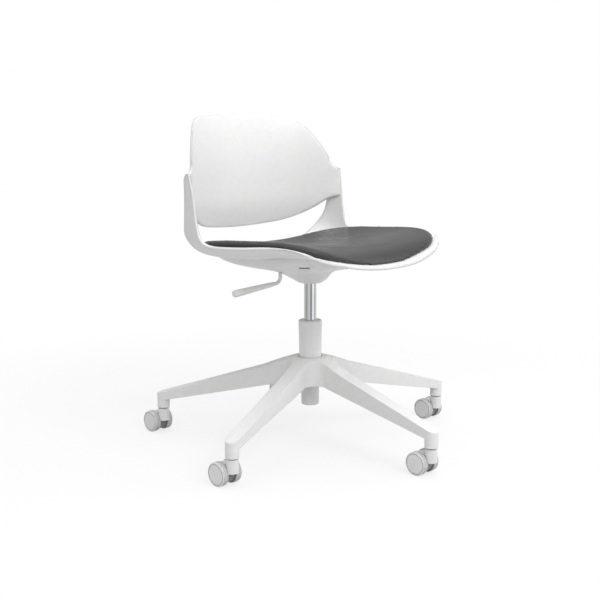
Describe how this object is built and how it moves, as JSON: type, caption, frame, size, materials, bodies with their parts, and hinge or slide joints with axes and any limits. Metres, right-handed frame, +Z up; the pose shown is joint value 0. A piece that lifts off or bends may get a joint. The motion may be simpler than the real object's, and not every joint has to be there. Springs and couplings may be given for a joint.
{
  "type": "swivel office chair",
  "caption": "Armless swivel office chair: one-piece moulded seat and backrest shell with a thin seat pad, height-adjustable gas column and a star base on twin-wheel casters.",
  "frame": {"origin": "on the floor under the axis of the column", "axes": "+Z up along the column, -Y the way the sitter faces, +X to the sitter's left"},
  "size_m": [0.7154, 0.6957, 0.7405],
  "materials": {
    "white_plastic": "fine grained, satin",
    "white_metal": "smooth powder coat",
    "chrome": "polished",
    "steel": "bright zinc",
    "brass": "knurled insert",
    "dark_plastic": "moulded, matt",
    "rubber": "matt",
    "grey_plastic": "moulded, satin",
    "grey_tread": "satin, pale faces and a greyer hard tread",
    "leather": "fine grained upholstery cover over foam, soft sheen"
  },
  "bodies": {
    "base": {"star_base": "white_plastic", "stem_sleeves": "dark_plastic", "stand_tube": "white_metal", "guide_bush": "white_plastic", "bearing_lower_race": "steel", "bearing_cage": "dark_plastic"},
    "rod": {"bearing_upper_race": "steel", "bump_stop": "rubber", "piston_rod": "steel", "rod_clip": "steel", "piston": "steel"},
    "seat": {"gas_cylinder": "chrome", "cylinder_gland": "dark_plastic", "taper_socket": "steel", "mechanism_plate": "steel", "lever_bracket": "steel", "lever_pivot_pin": "steel", "underseat_cover": "white_plastic", "cover_screws": "steel", "plate_bolts": "steel", "shell_inserts": "brass", "seat_shell": "white_plastic", "seat_pad": "leather", "pad_clips": "dark_plastic"},
    "lever": {"lever_rod": "white_metal", "lever_handle": "white_plastic"},
    "valve_pin": {"release_pin": "steel"},
    "caster_1": {"caster_hood_1": "grey_plastic", "caster_core_1": "dark_plastic", "caster_stem_1": "steel", "caster_axle_1": "steel"},
    "wheel_left_1": {"caster_wheel_left_1": "grey_tread"},
    "wheel_right_1": {"caster_wheel_right_1": "grey_tread"},
    "caster_2": {"caster_hood_2": "grey_plastic", "caster_core_2": "dark_plastic", "caster_stem_2": "steel", "caster_axle_2": "steel"},
    "wheel_left_2": {"caster_wheel_left_2": "grey_tread"},
    "wheel_right_2": {"caster_wheel_right_2": "grey_tread"},
    "caster_3": {"caster_hood_3": "grey_plastic", "caster_core_3": "dark_plastic", "caster_stem_3": "steel", "caster_axle_3": "steel"},
    "wheel_left_3": {"caster_wheel_left_3": "grey_tread"},
    "wheel_right_3": {"caster_wheel_right_3": "grey_tread"},
    "caster_4": {"caster_hood_4": "grey_plastic", "caster_core_4": "dark_plastic", "caster_stem_4": "steel", "caster_axle_4": "steel"},
    "wheel_left_4": {"caster_wheel_left_4": "grey_tread"},
    "wheel_right_4": {"caster_wheel_right_4": "grey_tread"},
    "caster_5": {"caster_hood_5": "grey_plastic", "caster_core_5": "dark_plastic", "caster_stem_5": "steel", "caster_axle_5": "steel"},
    "wheel_left_5": {"caster_wheel_left_5": "grey_tread"},
    "wheel_right_5": {"caster_wheel_right_5": "grey_tread"}
  },
  "joints": [
    {"name": "seat_swivel", "type": "hinge", "parent": "base", "child": "rod", "pos_m": [0, 0, 0.09], "axis": [0, 0, 1], "continuous": true},
    {"name": "seat_height", "type": "slide", "parent": "rod", "child": "seat", "axis": [0, 0, 1], "range_m": [-0.065, 0.055]},
    {"name": "lever_lift", "type": "hinge", "parent": "seat", "child": "lever", "pos_m": [-0.04, 0, 0.408], "axis": [0, 1, 0], "range_deg": [0, 6], "stiffness_Nm_per_rad": 6, "springref_deg": -6.88},
    {"name": "valve_push", "type": "slide", "parent": "seat", "child": "valve_pin", "axis": [0, 0, -1], "range_m": [0, 0.0043]},
    {"name": "caster_swivel_1", "type": "hinge", "parent": "base", "child": "caster_1", "pos_m": [0, -0.35, 0.07], "axis": [0, 0, 1], "continuous": true},
    {"name": "wheel_left_roll_1", "type": "hinge", "parent": "caster_1", "child": "wheel_left_1", "pos_m": [0, -0.327, 0.025], "axis": [1, 0, 0], "continuous": true},
    {"name": "wheel_right_roll_1", "type": "hinge", "parent": "caster_1", "child": "wheel_right_1", "pos_m": [0, -0.327, 0.025], "axis": [1, 0, 0], "continuous": true},
    {"name": "caster_swivel_2", "type": "hinge", "parent": "base", "child": "caster_2", "pos_m": [0.33287, -0.10816, 0.07], "axis": [0, 0, 1], "continuous": true},
    {"name": "wheel_left_roll_2", "type": "hinge", "parent": "caster_2", "child": "wheel_left_2", "pos_m": [0.33287, -0.08516, 0.025], "axis": [1, 0, 0], "continuous": true},
    {"name": "wheel_right_roll_2", "type": "hinge", "parent": "caster_2", "child": "wheel_right_2", "pos_m": [0.33287, -0.08516, 0.025], "axis": [1, 0, 0], "continuous": true},
    {"name": "caster_swivel_3", "type": "hinge", "parent": "base", "child": "caster_3", "pos_m": [0.20572, 0.28316, 0.07], "axis": [0, 0, 1], "continuous": true},
    {"name": "wheel_left_roll_3", "type": "hinge", "parent": "caster_3", "child": "wheel_left_3", "pos_m": [0.20572, 0.30616, 0.025], "axis": [1, 0, 0], "continuous": true},
    {"name": "wheel_right_roll_3", "type": "hinge", "parent": "caster_3", "child": "wheel_right_3", "pos_m": [0.20572, 0.30616, 0.025], "axis": [1, 0, 0], "continuous": true},
    {"name": "caster_swivel_4", "type": "hinge", "parent": "base", "child": "caster_4", "pos_m": [-0.20572, 0.28316, 0.07], "axis": [0, 0, 1], "continuous": true},
    {"name": "wheel_left_roll_4", "type": "hinge", "parent": "caster_4", "child": "wheel_left_4", "pos_m": [-0.20572, 0.30616, 0.025], "axis": [1, 0, 0], "continuous": true},
    {"name": "wheel_right_roll_4", "type": "hinge", "parent": "caster_4", "child": "wheel_right_4", "pos_m": [-0.20572, 0.30616, 0.025], "axis": [1, 0, 0], "continuous": true},
    {"name": "caster_swivel_5", "type": "hinge", "parent": "base", "child": "caster_5", "pos_m": [-0.33287, -0.10816, 0.07], "axis": [0, 0, 1], "continuous": true},
    {"name": "wheel_left_roll_5", "type": "hinge", "parent": "caster_5", "child": "wheel_left_5", "pos_m": [-0.33287, -0.08516, 0.025], "axis": [1, 0, 0], "continuous": true},
    {"name": "wheel_right_roll_5", "type": "hinge", "parent": "caster_5", "child": "wheel_right_5", "pos_m": [-0.33287, -0.08516, 0.025], "axis": [1, 0, 0], "continuous": true}
  ],
  "couplings": [
    {"joint": "valve_push", "follows": "lever_lift", "m_per_rad": 0.04}
  ]
}
